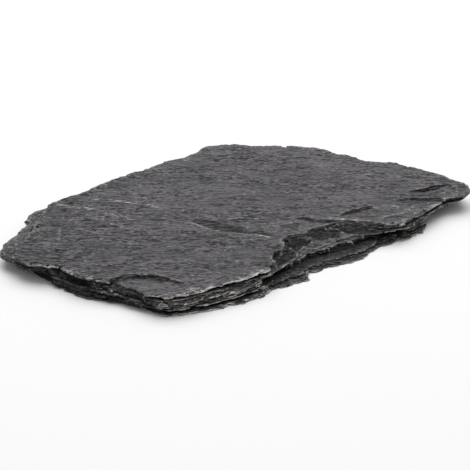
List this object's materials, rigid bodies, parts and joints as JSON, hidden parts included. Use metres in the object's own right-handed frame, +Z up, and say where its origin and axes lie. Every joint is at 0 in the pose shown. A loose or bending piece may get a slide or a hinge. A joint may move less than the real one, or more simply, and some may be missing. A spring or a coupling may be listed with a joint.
{
  "type": "slate slab",
  "caption": "Natural cleft slate slab with a ragged broken outline, stepped layered edges and a flat underside to rest on.",
  "frame": {"origin": "on the floor under the middle of the stone's box, in the plane of the flat underside", "axes": "+X along the long side, towards the narrow tip; +Y across the stone, away from the bitten near edge; +Z up, out of the cleft upper face"},
  "size_m": [0.3, 0.182, 0.013],
  "materials": {
    "slate": "cleft, matt with a faint sheen"
  },
  "bodies": {
    "root": {"slate_slab": "slate"}
  },
  "joints": []
}
